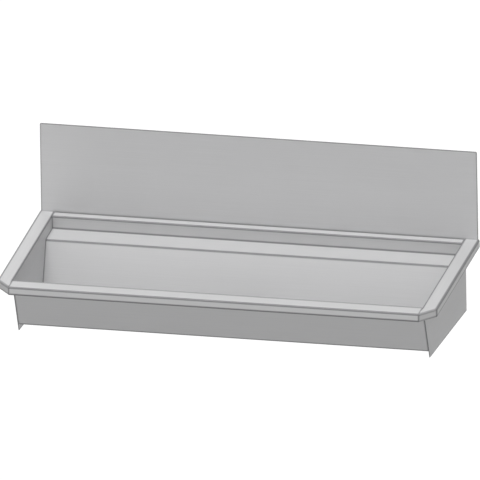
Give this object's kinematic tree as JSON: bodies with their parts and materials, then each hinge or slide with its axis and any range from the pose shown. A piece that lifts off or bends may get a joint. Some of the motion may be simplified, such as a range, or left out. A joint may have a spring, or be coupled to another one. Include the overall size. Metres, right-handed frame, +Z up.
{
  "type": "hand wash sink",
  "caption": "Wall-hung folded steel hand wash trough with flat end panels, tall splashback, hidden hook brackets and a floor waste with a lift-out strainer.",
  "frame": {"origin": "on the wall plane, at the middle of the line of wall bracket slots, 56 mm below the rim top", "axes": "+X along the sink to its right end, +Y into the wall, +Z up; the front faces -Y"},
  "size_m": [1.016, 0.482, 0.3979],
  "materials": {
    "brushed_sheet": "satin brushed stainless sheet",
    "splash_sheet": "satin brushed stainless sheet, grain along the sink",
    "bracket_steel": "mill-finish stainless strip",
    "stainless_fixings": "turned stainless",
    "polished_waste": "polished stainless",
    "brass_nut": "cast and turned brass",
    "seal_rubber": "matt black rubber",
    "damping_pad": "matt damping sheet",
    "fibre": "red vulcanised fibre"
  },
  "bodies": {
    "sink": {"trough_shell": "brushed_sheet", "left_end_panel": "brushed_sheet", "right_end_panel": "brushed_sheet", "splashback": "splash_sheet", "splash_seal_strip": "seal_rubber", "splash_studs": "stainless_fixings", "splash_washers": "stainless_fixings", "splash_nuts": "stainless_fixings", "left_hook_bracket": "bracket_steel", "right_hook_bracket": "bracket_steel", "left_wall_bracket": "bracket_steel", "right_wall_bracket": "bracket_steel", "lower_wall_rail": "bracket_steel", "left_sound_pad": "damping_pad", "right_sound_pad": "damping_pad", "drain_body": "polished_waste", "drain_flange_gasket": "seal_rubber", "drain_rubber_washer": "seal_rubber", "drain_fibre_washer": "fibre", "drain_locknut": "brass_nut"},
    "strainer": {"strainer_basket": "polished_waste", "strainer_knob": "polished_waste", "strainer_nut": "stainless_fixings"}
  },
  "joints": [
    {"name": "strainer_lift", "type": "slide", "parent": "sink", "child": "strainer", "axis": [0, 0, 1], "range_m": [0, 0.08]}
  ]
}
